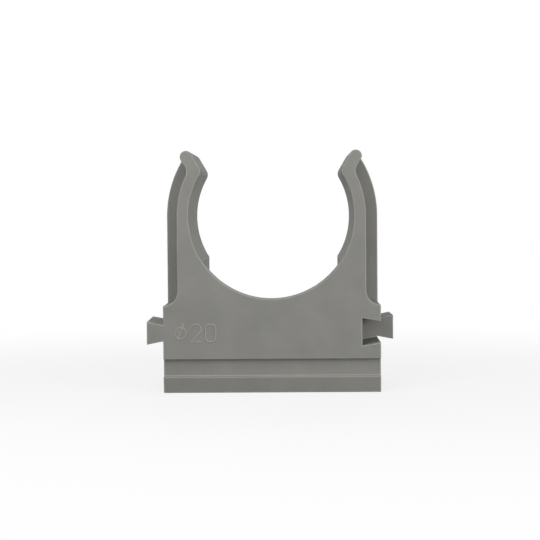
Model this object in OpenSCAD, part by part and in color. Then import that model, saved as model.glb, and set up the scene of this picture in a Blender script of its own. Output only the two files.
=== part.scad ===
// Snap-in clip for rigid conduit: one moulding with two springy arms on a foot.
// X runs across the clip, Y along the conduit with the flat front at -Y, Z up from the wall.
// The origin is the middle of the underside.

/* [Conduit seat] */
// Outside diameter of the conduit that the arms hold
conduit_d = 20; // [16:0.5:25]
// Height of the seat's lowest point above the wall
seat_h = 11.5; // [11:0.1:16]
// Distance that the front plate's rim stands back from the conduit, so that only the arms grip it
rim_relief = 0.06; // [0.02:0.02:0.1]

/* [Arms] */
// Thickness of the strip that wraps the conduit
arm_t = 1.5; // [1:0.1:2]
// Angle above the conduit's centre at which the strip turns outward
elbow_angle = 33; // [20:1:40]
// Lean of the lead-in tips, away from upright
tip_lean = 30; // [20:1:38]
// Length of a tip, from the elbow to the middle of its round nose
tip_len = 2.5; // [2:0.1:4]
// Radius of the elbow on the conduit's side
elbow_in_r = 1; // [0.3:0.1:1.5]
// Radius of the elbow on the outside
elbow_out_r = 1.2; // [0.3:0.1:1.5]
// Thickness of the rib that stiffens the outside of each arm
rib_t = 1.8; // [1.2:0.1:4]

/* [Body] */
// Width of the body, which is also the pitch of clips joined side by side
body_w = 26.5; // [26:0.1:32]
// Depth of the clip along the conduit
body_d = 16; // [12:0.5:24]
// Height of the shoulders beside the arms
shoulder_h = 10.65; // [10:0.05:12]
// Thickness of the front plate
plate_t = 2; // [1.2:0.1:3]
// Thickness of the column on each side of the screw well
column_t = 4.8; // [3.6:0.1:6]
// Thickness of the floor of the screw well
floor_t = 4.6; // [4.2:0.1:5]

/* [Foot] */
// Height of the foot below the rail grooves
foot_h = 2; // [1.5:0.1:2.2]
// Height of the rail grooves
groove_h = 2.1; // [1.5:0.1:2.6]
// Depth of the rail grooves
groove_depth = 0.7; // [0.4:0.1:1.2]
// Distance that the foot's faces lean in at the bottom
foot_lean = 0.35; // [0:0.05:0.8]

/* [Screw hole] */
// Diameter of the screw hole in the floor of the well
screw_d = 4.5; // [3:0.1:5]
// Diameter of the countersink for the screw's head
head_d = 8.6; // [7:0.1:10]

/* [Dovetails] */
// Height of the dovetails' middle above the wall
key_z = 7.35; // [7.2:0.05:7.8]
// Length of a tenon, out from the body's side
key_l = 2; // [1.2:0.1:2.4]
// Height of a tenon where it leaves the body
key_root = 2; // [1.4:0.1:2.4]
// Height of a tenon at its end
key_end = 2.8; // [2.4:0.1:3.2]
// Growth of a tenon on each side, from its open face to its stop
key_draft = 0.14; // [0:0.02:0.2]
// Clearance of a tenon in its socket, on every side
key_gap = 0.25; // [0.2:0.05:0.4]

/* [Hidden] */
$fn = 96;
grey = [0.52, 0.52, 0.49];
// Overlap that joins shapes, and overshoot that carries a cut past a face
lap = 0.5;
// Thickness of the slices that a drafted tenon is blended between
slice = 0.01;

bore_r = conduit_d / 2;
arm_r = bore_r + arm_t;
side_x = body_w / 2;
seat_z = seat_h + bore_r;
front_y = -body_d / 2;
back_y = body_d / 2;
well_x = side_x - column_t;
shoulder_r = side_x - arm_r;
nose_r = arm_t / 2;
// Longer than any distance across the clip
far = 2 * (body_w + seat_z);

// Unit vectors along a tip and out of its conduit side, for the right arm
tip_dir = [sin(tip_lean), cos(tip_lean)];
tip_out = [-cos(tip_lean), sin(tip_lean)];
// Places on the right arm, measured from the conduit's centre
elbow = bore_r * [cos(elbow_angle), sin(elbow_angle)];
nose = elbow + tip_len * tip_dir - nose_r * tip_out;

// The rib's outer edge is an arc that leaves the body's side upright and ends along the nose
rib_dx = nose[0] - side_x;
rib_r = (rib_dx * rib_dx + nose[1] * nose[1] - nose_r * nose_r) / (-2 * (rib_dx + nose_r));
rib_centre = [side_x - rib_r, 0];

function at_angle(r, a) = r * [cos(a), sin(a)];
// Angle of the centre of a round that touches the strip's face of radius r and the tip's face
function round_angle(r, drop) = acos((bore_r * cos(elbow_angle + tip_lean) + drop) / r) - tip_lean;

// Places an outline drawn in X and Z between two depths
module slab(y0, y1) {
    translate([0, y1, 0])
        rotate([90, 0, 0])
            linear_extrude(y1 - y0)
                children();
}

// Draws an outline of the right half on both sides
module both_sides() {
    children();
    mirror([1, 0])
        children();
}

// The corner between two tangent points that a round of radius r leaves over
module round_corner(touch_a, corner, touch_b, centre, r) {
    difference() {
        polygon([touch_a, corner, touch_b, centre]);
        translate(centre)
            circle(r);
    }
}

// One wedge of the plane round a centre, from level up to the direction given
module wedge(centre, direction) {
    polygon([centre, centre + [far, 0], centre + far * direction / norm(direction)]);
}

// Right arm's strip above the conduit's centre, with its tip, round the conduit's centre
module arm_strip() {
    intersection() {
        circle(arm_r);
        wedge([0, 0], elbow);
    }
    translate(elbow)
        rotate(-tip_lean)
            square([arm_t, tip_len]);
    translate(nose)
        circle(nose_r);
    // Fillet in the outer side of the elbow
    fillet_r = arm_r + elbow_out_r;
    fillet_at = at_angle(fillet_r, round_angle(fillet_r, arm_t + elbow_out_r));
    round_corner(fillet_at * arm_r / fillet_r, elbow + nose_r * (tip_dir - tip_out),
        fillet_at + elbow_out_r * tip_out, fillet_at, elbow_out_r);
}

// Corner that the round on the conduit's side of the elbow takes away
module elbow_round() {
    round_r = bore_r + elbow_in_r;
    round_at = at_angle(round_r, round_angle(round_r, elbow_in_r));
    round_corner(round_at * bore_r / round_r, elbow + lap * tip_out,
        round_at + elbow_in_r * tip_out, round_at, elbow_in_r);
}

// Front outline of the whole clip, without the ribs and dovetails
module front_outline() {
    difference() {
        union() {
            both_sides() {
                square([side_x, shoulder_h]);
                square([arm_r, seat_z]);
                difference() {
                    translate([arm_r - lap, shoulder_h - lap])
                        square([shoulder_r + lap, shoulder_r + lap]);
                    translate([side_x, shoulder_h + shoulder_r])
                        circle(shoulder_r);
                }
                translate([0, seat_z])
                    arm_strip();
            }
        }
        translate([0, seat_z])
            circle(bore_r);
        both_sides()
            translate([0, seat_z])
                elbow_round();
    }
}

// Rib on the outside of the right arm, from the shoulder up to the nose
module rib_outline() {
    inner_r = bore_r + arm_t / 2;
    translate([inner_r, shoulder_h - lap])
        square([side_x - inner_r, seat_z - shoulder_h + lap]);
    translate([0, seat_z])
        difference() {
            intersection() {
                translate(rib_centre)
                    circle(rib_r);
                wedge(rib_centre, nose - rib_centre);
            }
            circle(inner_r);
            translate(elbow)
                rotate(-tip_lean)
                    translate([-far, 0])
                        square([far + arm_t / 2, far]);
        }
}

// Dovetail outline that points left from its root, larger by the gap given
module key_outline(gap) {
    polygon([
        [lap, -key_root / 2 - gap], [0, -key_root / 2 - gap],
        [-key_l - gap, -key_end / 2 - gap], [-key_l - gap, key_end / 2 + gap],
        [0, key_root / 2 + gap], [lap, key_root / 2 + gap]
    ]);
}

// Dovetail tenon on the left side of the front half
module tenon() {
    translate([-side_x, 0, key_z])
        hull() {
            slab(front_y, front_y + slice)
                key_outline(0);
            slab(-slice, 0)
                translate([key_draft, 0])
                    key_outline(key_draft);
        }
}

// Socket on the right side of the front half, for the next clip's tenon
module socket() {
    translate([side_x, 0, key_z])
        slab(front_y - lap, 0)
            key_outline(key_gap);
}

// Rail groove and lean of the foot on the front, cut along the clip's width
module foot_cut() {
    translate([-side_x - lap, 0, 0])
        rotate([90, 0, 90])
            linear_extrude(body_w + 2 * lap)
                translate([front_y, 0]) {
                    translate([-lap, foot_h])
                        square([lap + groove_depth, groove_h]);
                    polygon([[-lap, 0], [foot_lean, 0], [0, foot_h], [-lap, foot_h]]);
                }
}

// Features that the front and the back share, turned half round from each other
module front_and_back() {
    children();
    rotate([0, 0, 180])
        children();
}

// Cut that sets the front plate's rim back from the conduit
module rim_cut() {
    slab(front_y - lap, front_y + plate_t)
        translate([0, seat_z])
            circle(bore_r + rim_relief);
}

// Open well behind the front plate, through which the screw is driven
module screw_well() {
    translate([-well_x, front_y + plate_t, floor_t])
        cube([2 * well_x, body_d, seat_z]);
}

// Countersunk hole in the floor of the well
module screw_hole() {
    sink_h = (head_d - screw_d) / 2;
    translate([0, 0, -lap])
        cylinder(d = screw_d, h = floor_t + 2 * lap);
    translate([0, 0, floor_t - sink_h])
        cylinder(d1 = screw_d, d2 = head_d, h = sink_h);
}

// The whole moulding
module conduit_clip() {
    color(grey)
        difference() {
            union() {
                difference() {
                    slab(front_y, back_y)
                        front_outline();
                    screw_well();
                }
                slab(-rib_t / 2, rib_t / 2)
                    both_sides()
                        rib_outline();
                front_and_back()
                    tenon();
            }
            front_and_back() {
                socket();
                foot_cut();
            }
            rim_cut();
            screw_hole();
        }
}

conduit_clip();
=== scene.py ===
import math

import bmesh
import bpy
from mathutils import Matrix, Vector


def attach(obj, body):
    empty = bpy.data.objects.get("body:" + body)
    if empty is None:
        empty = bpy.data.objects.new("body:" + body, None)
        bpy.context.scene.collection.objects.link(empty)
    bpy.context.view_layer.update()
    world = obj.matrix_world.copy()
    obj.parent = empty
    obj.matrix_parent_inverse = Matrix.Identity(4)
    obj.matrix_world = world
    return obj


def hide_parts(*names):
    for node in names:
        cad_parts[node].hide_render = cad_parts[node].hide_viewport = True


# Sizes are in millimetres, as in the part's source, and become metres where a mesh or lamp is made
MM = 0.001

# The moulding, with the part's own sizes
BORE_R = 10.0
RIM_RELIEF = 0.06
ARM_R = 11.5
ARM_T = 1.5
ELBOW_ANGLE = 33.0
TIP_LEAN = 30.0
TIP_LEN = 2.5
ELBOW_IN_R = 1.0
ELBOW_OUT_R = 1.2
RIB_T = 1.8
SIDE_X = 13.25
SEAT_Z = 21.5
SHOULDER_H = 10.65
FRONT_Y = -8.0
BACK_Y = 8.0
PLATE_T = 2.0
WELL_X = 8.45
FLOOR_T = 4.6
FOOT_H = 2.0
GROOVE_H = 2.1
GROOVE_DEPTH = 0.7
FOOT_LEAN = 0.35
SCREW_D = 4.5
HEAD_D = 8.6
KEY_Z = 7.35
KEY_L = 2.0
KEY_ROOT = 2.0
KEY_END = 2.8
KEY_DRAFT = 0.14
KEY_GAP = 0.25

# Radius of the moulding's edges on the front and back, and its share on the edges along the conduit
EDGE_R = 0.14
ALONG_SHARE = 0.5
EDGE_STEPS = 3
# Only edges longer than this in Y count as along the conduit; shorter ones are steps of a circle
ALONG_MIN = 0.6
# Angles in degrees: an edge is rounded above the first, shaded as a crease above the second, and
# taken out of a flat face below the third
ROUNDED_ANGLE = 25
CREASE_ANGLE = 40
FLAT_ANGLE = 0.3
# Distance within which the points of joined shapes become one
MERGE_DIST = 0.001
# Overshoot that carries a cut past a face, and depth to which a joined shape reaches in
LAP = 0.5
# Distance that the hidden foot of a rib stands back from the body's side
RIB_BACK = 0.1
# Lengths of the steps of a curve: the body's, the elbow's, the nose's, the rib's and the mark's
CHORD = 0.34
ELBOW_CHORD = 0.25
NOSE_CHORD = 0.24
RIB_CHORD = 0.6
MARK_CHORD = 0.18
# Steps of the screw hole and of a stroke's section, in degrees
HOLE_STEP = 6
SECTION_STEP = 30

# Raised size mark on the front: foot and height of its figures, width and height of its strokes
MARK_Z = 6.25
MARK_H = 2.15
STROKE_W = 0.2
STROKE_H = 0.09
# A stroke's buried back in heights, its size at the ends, and the least cosine at which it keeps
# its width round a corner
STROKE_ROOT = -0.5
STROKE_END = 0.4
MITRE_MIN = 0.6
# Sign: place and radius of its ring, the line's ends in X, and how far they pass the figures in Z
RING_X, RING_R = -11.17, 0.7
SLASH_X = (-11.58, -10.76)
SLASH_PAST = (0.05, 0.1)
# Two: place and radius of its bow, the bow's two angles and the foot's two ends
BOW_X, BOW_R = -9.28, 0.62
BOW_ANGLES = (165, -35)
TWO_FOOT = (-9.95, -8.62)
# Zero: radius of its corners and their centres' places on the right and left
ZERO_R = 0.42
ZERO_X = (-7.3, -7.68)

# Camera, in the part's own frame, at the photograph's viewing angle
CAMERA_AT = (2.837, -186.6, 21.91)
CAMERA_YAW = 0.0169
CAMERA_PITCH = 0.03885
CAMERA_ROLL = 0.00746
LENS = 98.2
SENSOR = 36.0
CLIP_NEAR = 1
CLIP_FAR = 10000

# Colour of the plastic, without the light
GREY = (0.235, 0.232, 0.215)
# Painted highlight: how much lighter the rounded edges and the raised figures are coloured, for the
# light they catch
PAINTED_EDGE_HIGHLIGHT = 1.35
IOR = 1.45
SPECULAR = 0.2
# Clouding: shares of the colour at its darkest and lightest, and features to the metre
CLOUD_SHARES = (0.94, 1.05)
CLOUD_SCALE = 260
# Gloss: smallest and largest roughness, and features to the metre
ROUGHNESS = (0.58, 0.66)
GLOSS_SCALE = 700
# Mould grain: features to the metre, strength and height
GRAIN_SCALE = 9000
GRAIN_STRENGTH = 0.12
GRAIN_H = 0.02
# The middle of a noise's values, which is spread over a range
NOISE_MIDDLE = (0.3, 0.7)

# World's light on the object
AMBIENT = 0.25
# Floor: its shade as seen and as it lights the object, and its share of white near the object
FLOOR_SHADE = 0.9
FLOOR_BOUNCE = 0.15
FLOOR_GLOW = 0.8
# Distances from the object's middle between which the floor fades to white
FADE_FROM = 20
FADE_TO = 110
# Height of the floor, just below the foot, and half of its width
FLOOR_Z = -0.01
FLOOR_HALF = 3000
# Softboxes: name, azimuth from the front towards the right, elevation, distance and size in mm,
# power in watts, and whether it shows in reflections. The one behind brightens the back alone,
# without a sheen along the seat.
LAMPS_AIM = (0, 0, 15)
LAMPS = [
    ("front", 0, 10, 170, 90, 0.045, True),
    ("far_front", 0, 5, 400, 120, 0.175, True),
    ("near_left", -25, 35, 90, 50, 0.028, True),
    ("right", 45, 10, 200, 80, 0.16, True),
    ("behind", 180, 5, 300, 200, 0.7, False),
]


def at_angle(radius, degrees):
    """The point of a circle round the origin at an angle."""
    turn = math.radians(degrees)
    return Vector((radius * math.cos(turn), radius * math.sin(turn)))


def arc(centre, radius, start, end, chord=CHORD):
    """Points along an arc between two angles in degrees, both ends included."""
    length = radius * math.radians(abs(end - start))
    count = max(3, round(length / chord))
    return [centre + at_angle(radius, start + (end - start) * i / count) for i in range(count + 1)]


def angle_of(direction):
    return math.degrees(math.atan2(direction.y, direction.x))


def round_angle(radius, drop):
    """Angle of the centre of a round that touches a face of the strip and a face of the tip."""
    reach = (BORE_R * math.cos(math.radians(ELBOW_ANGLE + TIP_LEAN)) + drop) / radius
    return math.degrees(math.acos(reach)) - TIP_LEAN


TIP_DIR = at_angle(1.0, 90 - TIP_LEAN)
TIP_OUT = at_angle(1.0, 180 - TIP_LEAN)
ELBOW = at_angle(BORE_R, ELBOW_ANGLE)
NOSE_R = ARM_T / 2
NOSE = ELBOW + TIP_LEN * TIP_DIR - NOSE_R * TIP_OUT


def right_outline(relief):
    """Right half of the front outline, from the foot over the arm to the seat's lowest point.

    The seat stands back from the conduit by the relief given.
    """
    seat = Vector((0.0, SEAT_Z))
    shoulder_r = SIDE_X - ARM_R
    out_at = round_angle(ARM_R + ELBOW_OUT_R, ARM_T + ELBOW_OUT_R)
    out_centre = at_angle(ARM_R + ELBOW_OUT_R, out_at)
    in_at = round_angle(BORE_R + ELBOW_IN_R, ELBOW_IN_R)
    in_centre = at_angle(BORE_R + ELBOW_IN_R, in_at)
    tip_turn = angle_of(TIP_OUT)
    points = [Vector((SIDE_X, 0.0))]
    points += arc(Vector((SIDE_X, SHOULDER_H + shoulder_r)), shoulder_r, 270, 180)
    points += arc(seat, ARM_R, 0, out_at)
    points += arc(seat + out_centre, ELBOW_OUT_R, out_at + 180, tip_turn, ELBOW_CHORD)[1:]
    points += arc(seat + NOSE, NOSE_R, tip_turn - 180, tip_turn, NOSE_CHORD)
    points += arc(seat + in_centre, ELBOW_IN_R, tip_turn, in_at + 180, ELBOW_CHORD)
    points += [p + relief * (p - seat).normalized() for p in arc(seat, BORE_R, in_at, -90)[1:]]
    return points


def rib_outline():
    """Outline of the right arm's rib, from inside the shoulder up along its outer arc to the nose.

    Its foot is hidden in the body and widens to the body's side at the shoulder's rounded edge.
    """
    seat = Vector((0.0, SEAT_Z))
    inner_r = BORE_R + ARM_T / 2
    dx = NOSE.x - SIDE_X
    rib_r = (dx * dx + NOSE.y * NOSE.y - NOSE_R * NOSE_R) / (-2 * (dx + NOSE_R))
    centre = Vector((SIDE_X - rib_r, 0.0))
    foot = SHOULDER_H - 2 * LAP
    points = [Vector((inner_r, foot)), Vector((SIDE_X - RIB_BACK, foot)),
              Vector((SIDE_X, SHOULDER_H - ALONG_SHARE * EDGE_R))]
    points += arc(seat + centre, rib_r, 0, angle_of(NOSE - centre), RIB_CHORD)
    points.append(seat + NOSE)
    points += arc(seat, inner_r, round_angle(inner_r, ARM_T / 2), 0, RIB_CHORD)
    return points


def mirrored(points):
    return [Vector((-p.x, p.y)) for p in reversed(points)]


def loft(bm, rings, loop=False):
    """Adds a closed skin through rings of points, capped at both ends or joined up in a loop."""
    rows = [[bm.verts.new(point) for point in ring] for ring in rings]
    if loop:
        rows.append(rows[0])
    else:
        bm.faces.new(rows[0])
        bm.faces.new(reversed(rows[-1]))
    for near, far in zip(rows, rows[1:]):
        for i in range(len(near)):
            bm.faces.new((near[i - 1], near[i], far[i], far[i - 1]))


def loft_both(bm, rings):
    """Adds a skin at the front, and the same one turned half round at the back."""
    loft(bm, rings)
    loft(bm, [[(-x, -y, z) for x, y, z in ring] for ring in rings])


def rings_at(outline, *depths):
    """An outline in X and Z, placed at each depth."""
    return [[(p.x, y, p.y) for p in outline] for y in depths]


def mesh_of(name, build):
    """A mesh object made by a function that fills a bmesh in millimetres."""
    bm = bmesh.new()
    build(bm)
    bmesh.ops.recalc_face_normals(bm, faces=bm.faces)
    bmesh.ops.scale(bm, vec=(MM, MM, MM), verts=bm.verts)
    mesh = bpy.data.meshes.new(name)
    bm.to_mesh(mesh)
    bm.free()
    # The second slot is that of the rounded edges, while the shapes are joined
    mesh.materials.append(None)
    mesh.materials.append(None)
    piece = bpy.data.objects.new(name, mesh)
    bpy.context.scene.collection.objects.link(piece)
    return piece


def body(bm):
    """The outline from front to back, with the front plate's rim a little back from the conduit."""
    rim, seat = [mirrored(right) + right[:-1]
                 for right in (right_outline(RIM_RELIEF), right_outline(0.0))]
    loft(bm, rings_at(rim, FRONT_Y, FRONT_Y + PLATE_T)
         + rings_at(seat, FRONT_Y + 2 * PLATE_T, BACK_Y))


def well(bm):
    """The open well behind the front plate."""
    outline = [Vector((x, z)) for x, z in
               ((-WELL_X, FLOOR_T), (WELL_X, FLOOR_T), (WELL_X, SEAT_Z), (-WELL_X, SEAT_Z))]
    loft(bm, rings_at(outline, FRONT_Y + PLATE_T, BACK_Y + LAP))


def key_outline(root_x, gap):
    """Dovetail outline that points left from its root, larger by the gap given."""
    root, end = KEY_ROOT / 2 + gap, KEY_END / 2 + gap
    inner = root - (end - root) * LAP / (KEY_L + gap)
    return [Vector((root_x + x, KEY_Z + z)) for x, z in
            ((LAP, -inner), (LAP, inner), (-KEY_L - gap, end), (-KEY_L - gap, -end))]


def sockets(bm):
    loft_both(bm, rings_at(key_outline(SIDE_X, KEY_GAP), FRONT_Y - LAP, 0.0))


def tenons(bm):
    """Tenons that grow a little from their open faces towards their stops."""
    loft_both(bm, rings_at(key_outline(-SIDE_X, 0.0), FRONT_Y)
              + rings_at(key_outline(-SIDE_X + KEY_DRAFT, KEY_DRAFT), 0.0))


def foot_cuts(bm):
    """Rail grooves above the foot, and the lean of the foot's faces."""
    out = FRONT_Y - LAP
    profile = [(out, -LAP), (FRONT_Y + FOOT_LEAN * (1 + LAP / FOOT_H), -LAP), (FRONT_Y, FOOT_H),
               (FRONT_Y + GROOVE_DEPTH, FOOT_H), (FRONT_Y + GROOVE_DEPTH, FOOT_H + GROOVE_H),
               (out, FOOT_H + GROOVE_H)]
    loft_both(bm, [[(x, y, z) for y, z in profile] for x in (-SIDE_X - LAP, SIDE_X + LAP)])


def screw_hole(bm):
    """Countersunk hole through the floor of the well."""
    sink = (HEAD_D - SCREW_D) / 2
    profile = [(SCREW_D / 2, -LAP), (SCREW_D / 2, FLOOR_T - sink), (HEAD_D / 2, FLOOR_T),
               (HEAD_D / 2, FLOOR_T + LAP)]
    loft(bm, [[at_angle(r, a).to_3d() + Vector((0, 0, z)) for a in range(0, 360, HOLE_STEP)]
              for r, z in profile])


def ribs(bm):
    right = rib_outline()
    for outline in (right, mirrored(right)):
        loft(bm, rings_at(outline, -RIB_T / 2, RIB_T / 2))


def stroke(bm, path, loop=False):
    """Raised line with a half-round section, along points in X and Z on the front."""
    arch = [tuple(at_angle(1.0, a)) for a in range(0, 181, SECTION_STEP)]
    section = [(STROKE_W / 2 * c, STROKE_H * s)
               for c, s in [(1.0, STROKE_ROOT)] + arch + [(-1.0, STROKE_ROOT)]]
    last = len(path) - 1
    rings = []
    for i, point in enumerate(path):
        back = path[i - 1] - point if loop or i > 0 else point - path[1]
        ahead = path[(i + 1) % len(path)] - point if loop or i < last else point - path[i - 1]
        along = (ahead.normalized() - back.normalized()).normalized()
        across = Vector((-along.y, along.x))
        # The line keeps its width round a corner, and narrows to a round end
        reach = 1 / max(MITRE_MIN, abs(across.dot(Vector((-ahead.y, ahead.x)).normalized())))
        rings.append([(point.x + reach * u * across.x, FRONT_Y - h, point.y + reach * u * across.y)
                      for u, h in section])
        if not loop and i in (0, last):
            tip = point + along * (STROKE_W / 2 if i else -STROKE_W / 2)
            small = [(tip.x + STROKE_END * u * across.x, FRONT_Y - STROKE_END * h,
                      tip.y + STROKE_END * u * across.y) for u, h in section]
            rings.insert(len(rings) if i else 0, small)
    loft(bm, rings, loop)


def size_mark(bm):
    """Diameter sign and the number of the conduit's size, in plain strokes."""
    middle = MARK_Z + MARK_H / 2
    top = MARK_Z + MARK_H
    # The ring stops one step short, because the loop joins its last point to its first
    stroke(bm, arc(Vector((RING_X, middle)), RING_R, 0, 345, MARK_CHORD), loop=True)
    stroke(bm, [Vector((SLASH_X[0], MARK_Z - SLASH_PAST[0])),
                Vector((SLASH_X[1], top + SLASH_PAST[1]))])
    bow = arc(Vector((BOW_X, top - BOW_R)), BOW_R, *BOW_ANGLES, MARK_CHORD)
    stroke(bm, bow + [Vector((x, MARK_Z)) for x in TWO_FOOT])
    right, left = ZERO_X
    zero = []
    for x, z, start in ((right, top - ZERO_R, 0), (left, top - ZERO_R, 90),
                        (left, MARK_Z + ZERO_R, 180), (right, MARK_Z + ZERO_R, 270)):
        zero += arc(Vector((x, z)), ZERO_R, start, start + 90, MARK_CHORD)
    stroke(bm, zero, loop=True)


def baked(piece):
    """Puts the result of a piece's modifiers into its mesh."""
    depsgraph = bpy.context.evaluated_depsgraph_get()
    mesh = bpy.data.meshes.new_from_object(piece.evaluated_get(depsgraph))
    piece.modifiers.clear()
    piece.data = mesh


def combine(piece, operation, tool):
    """Joins another piece to a piece, or cuts it away, and merges the flat pieces of each face."""
    boolean = piece.modifiers.new("combine", "BOOLEAN")
    boolean.operation = operation
    boolean.solver = "EXACT"
    boolean.object = tool
    baked(piece)
    bpy.data.objects.remove(tool)
    bm = bmesh.new()
    bm.from_mesh(piece.data)
    bmesh.ops.remove_doubles(bm, verts=bm.verts, dist=MERGE_DIST * MM)
    bmesh.ops.dissolve_limit(bm, angle_limit=math.radians(FLAT_ANGLE), verts=bm.verts,
                             edges=bm.edges)
    bm.to_mesh(piece.data)
    bm.free()


def round_edges(piece, from_x=0.0):
    """Rounds the sharp edges that are further out than a distance in X."""
    bm = bmesh.new()
    bm.from_mesh(piece.data)
    weight = bm.edges.layers.float.new("bevel_weight_edge")
    for edge in bm.edges:
        reach = max(abs(v.co.x) for v in edge.verts)
        along = abs(edge.verts[1].co.y - edge.verts[0].co.y) > ALONG_MIN * MM
        if edge.calc_face_angle(0) > math.radians(ROUNDED_ANGLE) and reach > from_x * MM:
            edge[weight] = ALONG_SHARE if along else 1.0
    bm.to_mesh(piece.data)
    bm.free()
    bevel = piece.modifiers.new("rounded_edges", "BEVEL")
    bevel.width = EDGE_R * MM
    bevel.segments = EDGE_STEPS
    bevel.limit_method = "WEIGHT"
    bevel.material = 1
    bevel.use_clamp_overlap = False
    baked(piece)


def note_edges(piece, share):
    """Notes for the material which faces are rounded edges, which get the painted highlight, with
    the share given for the others.
    """
    mesh = piece.data
    edge = mesh.attributes.new("edge", "FLOAT", "FACE")
    for polygon, value in zip(mesh.polygons, edge.data):
        value.value = 1.0 if polygon.material_index == 1 else share
        polygon.material_index = 0


def make_clip():
    """The moulding. Its ribs and tenons are rounded by themselves before they are joined to it."""
    clip = mesh_of("clip", body)
    for shape in (well, sockets, foot_cuts, screw_hole):
        combine(clip, "DIFFERENCE", mesh_of("cut", shape))
    round_edges(clip)
    for shape, from_x in ((ribs, 0.0), (tenons, SIDE_X)):
        part = mesh_of("part", shape)
        round_edges(part, from_x)
        combine(clip, "UNION", part)
    note_edges(clip, 0.0)
    clip.data.shade_smooth()
    clip.data.set_sharp_from_angle(angle=math.radians(CREASE_ANGLE))
    clip.modifiers.new("shading", "WEIGHTED_NORMAL").keep_sharp = True
    return clip


def make_mark():
    """The raised size mark, with the rounded edges' painted highlight all over."""
    mark = mesh_of("size_mark", size_mark)
    note_edges(mark, 1.0)
    mark.data.shade_smooth()
    return mark


def make_camera():
    """Looks along the conduit from the front, a little down and to the left."""
    data = bpy.data.cameras.new("camera")
    data.lens = LENS
    data.sensor_width = SENSOR
    data.clip_start = CLIP_NEAR * MM
    data.clip_end = CLIP_FAR * MM
    camera = bpy.data.objects.new("camera", data)
    bpy.context.scene.collection.objects.link(camera)
    turn = Matrix.Rotation(CAMERA_YAW, 4, "Z")
    tilt = Matrix.Rotation(math.pi / 2 - CAMERA_PITCH, 4, "X")
    roll = Matrix.Rotation(-CAMERA_ROLL, 4, "Z")
    camera.matrix_world = Matrix.Translation(Vector(CAMERA_AT) * MM) @ turn @ tilt @ roll
    bpy.context.scene.camera = camera


def noise(tree, scale, detail, where):
    """Noise over the piece's own place, in features to the metre."""
    node = tree.nodes.new("ShaderNodeTexNoise")
    node.inputs["Scale"].default_value = scale
    node.inputs["Detail"].default_value = detail
    tree.links.new(where, node.inputs["Vector"])
    return node.outputs["Fac"]


def ranged(tree, value, low, high):
    """Spreads the middle of a noise over the range given."""
    node = tree.nodes.new("ShaderNodeMapRange")
    node.inputs["From Min"].default_value = NOISE_MIDDLE[0]
    node.inputs["From Max"].default_value = NOISE_MIDDLE[1]
    node.inputs["To Min"].default_value = low
    node.inputs["To Max"].default_value = high
    tree.links.new(value, node.inputs["Value"])
    return node.outputs["Result"]


def plastic():
    """Grey moulded plastic: satin, faintly clouded where it flowed, with the mould's fine grain,
    and a painted highlight on the rounded edges and raised figures.
    """
    material = bpy.data.materials.new("grey_plastic")
    material.use_nodes = True
    tree = material.node_tree
    shader = tree.nodes["Principled BSDF"]
    shader.inputs["IOR"].default_value = IOR
    shader.inputs["Specular IOR Level"].default_value = SPECULAR
    where = tree.nodes.new("ShaderNodeTexCoord").outputs["Object"]
    tint = tree.nodes.new("ShaderNodeMix")
    tint.data_type = "RGBA"
    for name, tone in zip("AB", CLOUD_SHARES):
        tint.inputs[name].default_value = (*[c * tone for c in GREY], 1)
    clouds = ranged(tree, noise(tree, CLOUD_SCALE, 3, where), 0, 1)
    tree.links.new(clouds, tint.inputs["Factor"])
    # Painted highlight: the rounded edges and the size mark are coloured lighter, standing in for
    # the light they catch
    painted_highlight = tree.nodes.new("ShaderNodeMix")
    painted_highlight.data_type = "RGBA"
    painted_highlight.inputs["B"].default_value = (*[c * PAINTED_EDGE_HIGHLIGHT for c in GREY], 1)
    edge = tree.nodes.new("ShaderNodeAttribute")
    edge.attribute_name = "edge"
    tree.links.new(edge.outputs["Fac"], painted_highlight.inputs["Factor"])
    tree.links.new(tint.outputs["Result"], painted_highlight.inputs["A"])
    tree.links.new(painted_highlight.outputs["Result"], shader.inputs["Base Color"])
    gloss = ranged(tree, noise(tree, GLOSS_SCALE, 2, where), *ROUGHNESS)
    tree.links.new(gloss, shader.inputs["Roughness"])
    bump = tree.nodes.new("ShaderNodeBump")
    bump.inputs["Strength"].default_value = GRAIN_STRENGTH
    bump.inputs["Distance"].default_value = GRAIN_H * MM
    tree.links.new(noise(tree, GRAIN_SCALE, 2, where), bump.inputs["Height"])
    tree.links.new(bump.outputs["Normal"], shader.inputs["Normal"])
    return material


def seen(tree):
    """1 for the rays that show a surface, straight or in a reflection, and 0 for those of light."""
    path = tree.nodes.new("ShaderNodeLightPath")
    total = path.outputs["Is Camera Ray"]
    for name in ("Is Glossy Ray", "Is Transmission Ray"):
        add = tree.nodes.new("ShaderNodeMath")
        add.operation = "ADD"
        add.use_clamp = True
        tree.links.new(total, add.inputs[0])
        tree.links.new(path.outputs[name], add.inputs[1])
        total = add.outputs[0]
    return total


def part_of(tree, value, low, high):
    """Goes from low to high as a value goes from 0 to 1."""
    node = tree.nodes.new("ShaderNodeMapRange")
    node.inputs["To Min"].default_value = low
    node.inputs["To Max"].default_value = high
    tree.links.new(value, node.inputs["Value"])
    return node.outputs["Result"]


def make_world():
    """A white backdrop, which lights the object more dimly than it looks."""
    world = bpy.data.worlds.new("world")
    bpy.context.scene.world = world
    world.use_nodes = True
    tree = world.node_tree
    background = tree.nodes["Background"]
    background.inputs["Color"].default_value = (1, 1, 1, 1)
    tree.links.new(part_of(tree, seen(tree), AMBIENT, 1.0), background.inputs["Strength"])


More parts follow.
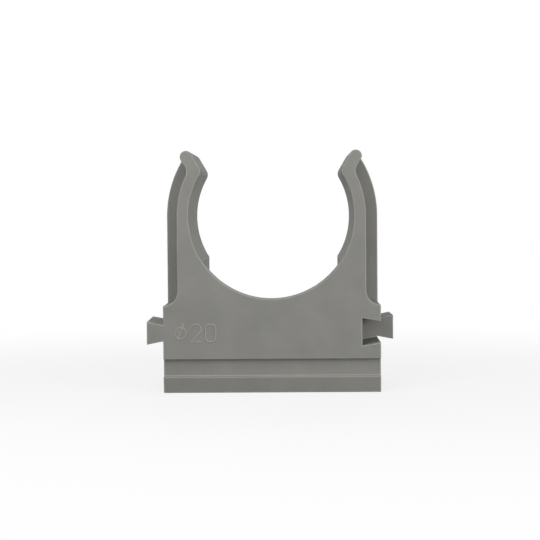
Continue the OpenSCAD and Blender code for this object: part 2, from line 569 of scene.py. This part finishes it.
def make_floor():
    """A pale floor that keeps a faint shadow near the object and fades to white further out."""
    material = bpy.data.materials.new("floor")
    material.use_nodes = True
    tree = material.node_tree
    tree.nodes.remove(tree.nodes["Principled BSDF"])
    shown = seen(tree)
    plain = tree.nodes.new("ShaderNodeBsdfDiffuse")
    tree.links.new(part_of(tree, shown, FLOOR_BOUNCE, FLOOR_SHADE), plain.inputs["Color"])
    glow = tree.nodes.new("ShaderNodeEmission")
    where = tree.nodes.new("ShaderNodeTexCoord").outputs["Object"]
    reach = tree.nodes.new("ShaderNodeVectorMath")
    reach.operation = "LENGTH"
    tree.links.new(where, reach.inputs[0])
    fade = tree.nodes.new("ShaderNodeMapRange")
    fade.interpolation_type = "SMOOTHSTEP"
    fade.inputs["From Min"].default_value = FADE_FROM * MM
    fade.inputs["From Max"].default_value = FADE_TO * MM
    fade.inputs["To Min"].default_value = FLOOR_GLOW
    tree.links.new(reach.outputs["Value"], fade.inputs["Value"])
    share = tree.nodes.new("ShaderNodeMath")
    share.operation = "MULTIPLY"
    tree.links.new(shown, share.inputs[0])
    tree.links.new(fade.outputs["Result"], share.inputs[1])
    mix = tree.nodes.new("ShaderNodeMixShader")
    tree.links.new(share.outputs[0], mix.inputs[0])
    tree.links.new(plain.outputs[0], mix.inputs[1])
    tree.links.new(glow.outputs[0], mix.inputs[2])
    tree.links.new(mix.outputs[0], tree.nodes["Material Output"].inputs["Surface"])

    def sheet(bm):
        corners = ((-1, -1), (1, -1), (1, 1), (-1, 1))
        bm.faces.new([bm.verts.new((FLOOR_HALF * x, FLOOR_HALF * y, FLOOR_Z)) for x, y in corners])

    floor = mesh_of("floor", sheet)
    floor.data.materials.clear()
    floor.data.materials.append(material)


def make_lamps():
    """Softboxes round the object, each turned towards its middle."""
    for name, azimuth, elevation, distance, size, power, reflected in LAMPS:
        data = bpy.data.lights.new(name, "AREA")
        data.size = size * MM
        data.energy = power
        lamp = bpy.data.objects.new(name, data)
        lamp.visible_glossy = reflected
        bpy.context.scene.collection.objects.link(lamp)
        turn = Matrix.Rotation(math.radians(azimuth), 4, "Z") @ Matrix.Rotation(
            math.radians(90 - elevation), 4, "X")
        lamp.matrix_world = Matrix.Translation(Vector(LAMPS_AIM) * MM) @ turn @ Matrix.Translation(
            (0, 0, distance * MM))


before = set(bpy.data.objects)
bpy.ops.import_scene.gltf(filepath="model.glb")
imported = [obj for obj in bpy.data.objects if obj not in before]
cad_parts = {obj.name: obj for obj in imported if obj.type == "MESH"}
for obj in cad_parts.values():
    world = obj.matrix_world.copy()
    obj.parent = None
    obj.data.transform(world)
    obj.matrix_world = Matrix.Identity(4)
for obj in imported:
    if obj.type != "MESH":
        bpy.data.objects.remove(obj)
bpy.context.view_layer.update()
make_camera()
grey = plastic()
clip = make_clip()
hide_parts("conduit_clip")
for piece in (clip, make_mark()):
    piece.data.materials.clear()
    piece.data.materials.append(grey)
    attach(piece, "root")
make_world()
make_floor()
make_lamps()

bpy.context.scene.view_settings.view_transform = "Standard"
